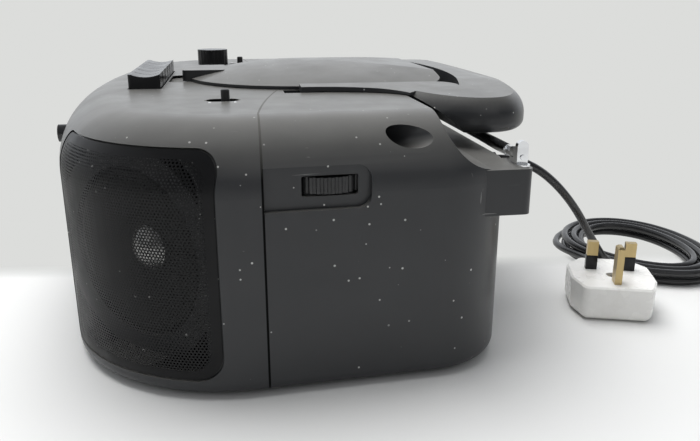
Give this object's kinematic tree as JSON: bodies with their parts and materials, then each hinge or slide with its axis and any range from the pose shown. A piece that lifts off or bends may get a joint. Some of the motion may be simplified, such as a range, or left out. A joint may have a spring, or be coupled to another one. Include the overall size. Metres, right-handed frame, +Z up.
{
  "type": "cd radio cassette player",
  "caption": "Portable disc, radio and cassette player with rounded body, corner speakers, disc lid, keys, folding handle, antenna and mains cord.",
  "frame": {"origin": "on the table, under the middle of the body and its folded handle", "axes": "+Z up, front towards -Y, +X towards the side with the tuning wheel"},
  "size_m": [0.396, 0.4368, 0.1412],
  "materials": {
    "graphite_case": "satin dark graphite plastic",
    "black_mesh": "black perforated steel",
    "black_plastic": "black moulded plastic",
    "black_paper": "pressed paper cone",
    "silver_cap": "satin silver dome",
    "zinc_steel": "zinc plated steel",
    "brass_part": "turned brass",
    "green_board": "circuit board",
    "clear_window": "smoked clear plastic",
    "cream_scale": "printed dial plate",
    "red_pointer": "red plastic",
    "black_rubber": "black rubber",
    "bright_chrome": "bright chrome plate",
    "white_plug": "white moulded plastic"
  },
  "bodies": {
    "cabinet": {"front_cabinet": "graphite_case", "rear_cabinet": "graphite_case", "speaker_grilles": "black_mesh", "speaker_baskets": "zinc_steel", "speaker_cones": "black_paper", "dust_caps": "silver_cap", "cd_well": "black_plastic", "spindle_motor": "zinc_steel", "sled_rods": "zinc_steel", "hinge_pins": "zinc_steel", "tuning_capacitor": "zinc_steel", "circuit_boards": "green_board", "power_transformer": "zinc_steel", "display_window": "clear_window", "dial_scale": "cream_scale", "tape_chassis": "zinc_steel", "deck_motor": "zinc_steel", "tape_head": "zinc_steel", "key_frame": "black_plastic", "volume_pot": "zinc_steel", "switch_bodies": "black_plastic", "antenna_post": "bright_chrome", "battery_contacts": "zinc_steel", "cabinet_feet": "black_rubber", "cabinet_screws": "zinc_steel", "cord_gland": "black_rubber", "mains_cord": "black_rubber", "cord_coil": "black_rubber", "plug_body": "white_plug", "plug_pins": "brass_part"},
    "cd_lid": {"cd_lid": "graphite_case"},
    "disc_clamp": {"disc_clamp": "black_plastic"},
    "spindle_hub": {"spindle_hub": "black_plastic"},
    "laser_sled": {"laser_sled": "black_plastic"},
    "cassette_door": {"cassette_door": "graphite_case", "cassette_window": "clear_window"},
    "supply_reel": {"supply_reel": "black_plastic"},
    "takeup_reel": {"takeup_reel": "black_plastic"},
    "capstan": {"capstan": "brass_part"},
    "motor_pulley": {"motor_pulley": "brass_part"},
    "pinch_roller": {"pinch_roller": "black_rubber"},
    "key_pause": {"key_pause": "black_plastic"},
    "key_stop": {"key_stop": "black_plastic"},
    "key_forward": {"key_forward": "black_plastic"},
    "key_rewind": {"key_rewind": "black_plastic"},
    "key_play": {"key_play": "black_plastic"},
    "key_record": {"key_record": "black_plastic"},
    "cd_play_button": {"cd_play_button": "black_plastic"},
    "cd_stop_button": {"cd_stop_button": "black_plastic"},
    "volume_knob": {"volume_knob": "black_plastic"},
    "band_switch": {"band_switch": "black_plastic"},
    "function_switch": {"function_switch": "black_plastic"},
    "tuning_wheel": {"tuning_wheel": "black_plastic"},
    "dial_pointer": {"dial_pointer": "red_pointer"},
    "handle": {"handle": "graphite_case"},
    "antenna_knuckle": {"antenna_knuckle": "bright_chrome"},
    "antenna_tube_1": {"antenna_tube_1": "bright_chrome"},
    "antenna_tube_2": {"antenna_tube_2": "bright_chrome"},
    "antenna_tube_3": {"antenna_tube_3": "bright_chrome"},
    "battery_door": {"battery_door": "black_plastic"}
  },
  "joints": [
    {"name": "cd_lid_hinge", "type": "hinge", "parent": "cabinet", "child": "cd_lid", "pos_m": [0, 0.0855, 0.1274], "axis": [-1, 0, 0], "range_deg": [0, 50]},
    {"name": "disc_clamp_spin", "type": "hinge", "parent": "cd_lid", "child": "disc_clamp", "pos_m": [0, 0.01, 0.121], "axis": [0, 0, 1], "continuous": true},
    {"name": "spindle_spin", "type": "hinge", "parent": "cabinet", "child": "spindle_hub", "pos_m": [0, 0.01, 0.115], "axis": [0, 0, 1], "continuous": true},
    {"name": "laser_sled_slide", "type": "slide", "parent": "cabinet", "child": "laser_sled", "axis": [0, -1, 0], "range_m": [0, 0.031]},
    {"name": "cassette_door_hinge", "type": "hinge", "parent": "cabinet", "child": "cassette_door", "pos_m": [0, -0.1375, 0.0275], "axis": [1, 0, 0], "range_deg": [0, 35]},
    {"name": "supply_reel_spin", "type": "hinge", "parent": "cabinet", "child": "supply_reel", "pos_m": [0.02125, -0.117, 0.066], "axis": [0, 1, 0], "continuous": true},
    {"name": "takeup_reel_spin", "type": "hinge", "parent": "cabinet", "child": "takeup_reel", "pos_m": [-0.02125, -0.117, 0.066], "axis": [0, 1, 0], "continuous": true},
    {"name": "capstan_spin", "type": "hinge", "parent": "cabinet", "child": "capstan", "pos_m": [0.014, -0.117, 0.038], "axis": [0, 1, 0], "continuous": true},
    {"name": "motor_pulley_spin", "type": "hinge", "parent": "cabinet", "child": "motor_pulley", "pos_m": [-0.035, -0.11, 0.04], "axis": [0, 1, 0], "continuous": true},
    {"name": "pinch_roller_spin", "type": "hinge", "parent": "cabinet", "child": "pinch_roller", "pos_m": [0.022, -0.12, 0.038], "axis": [0, 1, 0], "continuous": true},
    {"name": "key_pause_press", "type": "slide", "parent": "cabinet", "child": "key_pause", "axis": [0, 0, -1], "range_m": [0, 0.004], "stiffness_N_per_m": 150},
    {"name": "key_stop_press", "type": "slide", "parent": "cabinet", "child": "key_stop", "axis": [0, 0, -1], "range_m": [0, 0.004], "stiffness_N_per_m": 150},
    {"name": "key_forward_press", "type": "slide", "parent": "cabinet", "child": "key_forward", "axis": [0, 0, -1], "range_m": [0, 0.004], "stiffness_N_per_m": 150},
    {"name": "key_rewind_press", "type": "slide", "parent": "cabinet", "child": "key_rewind", "axis": [0, 0, -1], "range_m": [0, 0.004], "stiffness_N_per_m": 150},
    {"name": "key_play_press", "type": "slide", "parent": "cabinet", "child": "key_play", "axis": [0, 0, -1], "range_m": [0, 0.004], "stiffness_N_per_m": 150},
    {"name": "key_record_press", "type": "slide", "parent": "cabinet", "child": "key_record", "axis": [0, 0, -1], "range_m": [0, 0.004], "stiffness_N_per_m": 150},
    {"name": "cd_play_press", "type": "slide", "parent": "cabinet", "child": "cd_play_button", "axis": [0, 1, 0], "range_m": [0, 0.002], "stiffness_N_per_m": 150},
    {"name": "cd_stop_press", "type": "slide", "parent": "cabinet", "child": "cd_stop_button", "axis": [0, 1, 0], "range_m": [0, 0.002], "stiffness_N_per_m": 150},
    {"name": "volume_turn", "type": "hinge", "parent": "cabinet", "child": "volume_knob", "pos_m": [-0.112, -0.052, 0.13], "axis": [0, 0, 1], "range_deg": [-150, 150]},
    {"name": "band_switch_slide", "type": "slide", "parent": "cabinet", "child": "band_switch", "axis": [0, 1, 0], "range_m": [-0.006, 0.003]},
    {"name": "function_switch_slide", "type": "slide", "parent": "cabinet", "child": "function_switch", "axis": [0, 1, 0], "range_m": [-0.005, 0.005]},
    {"name": "tuning_turn", "type": "hinge", "parent": "cabinet", "child": "tuning_wheel", "pos_m": [0.17527, 0.0025, 0.1006], "axis": [0, 0, 1], "range_deg": [0, 180]},
    {"name": "dial_pointer_slide", "type": "slide", "parent": "cabinet", "child": "dial_pointer", "axis": [1, 0, 0], "range_m": [0, 0.07]},
    {"name": "handle_hinge", "type": "hinge", "parent": "cabinet", "child": "handle", "pos_m": [0, 0.006, 0.1215], "axis": [-1, 0, 0], "range_deg": [-92, 0]},
    {"name": "antenna_tilt", "type": "hinge", "parent": "cabinet", "child": "antenna_knuckle", "pos_m": [0.177, 0.0985, 0.1069], "axis": [1, 0, 0], "range_deg": [0, 90]},
    {"name": "antenna_swing", "type": "hinge", "parent": "antenna_knuckle", "child": "antenna_tube_1", "pos_m": [0.169, 0.0985, 0.1069], "axis": [0, 0, -1], "range_deg": [0, 110]},
    {"name": "antenna_extend_1", "type": "slide", "parent": "antenna_tube_1", "child": "antenna_tube_2", "axis": [-1, 0, 0], "range_m": [0, 0.13]},
    {"name": "antenna_extend_2", "type": "slide", "parent": "antenna_tube_2", "child": "antenna_tube_3", "axis": [-1, 0, 0], "range_m": [0, 0.13]},
    {"name": "battery_door_hinge", "type": "hinge", "parent": "cabinet", "child": "battery_door", "pos_m": [0, 0.0183, 0.002], "axis": [-1, 0, 0], "range_deg": [0, 100]}
  ],
  "couplings": [
    {"joint": "dial_pointer_slide", "follows": "tuning_turn", "m_per_rad": 0.022282},
    {"joint": "motor_pulley_spin", "follows": "capstan_spin", "ratio": 4}
  ]
}
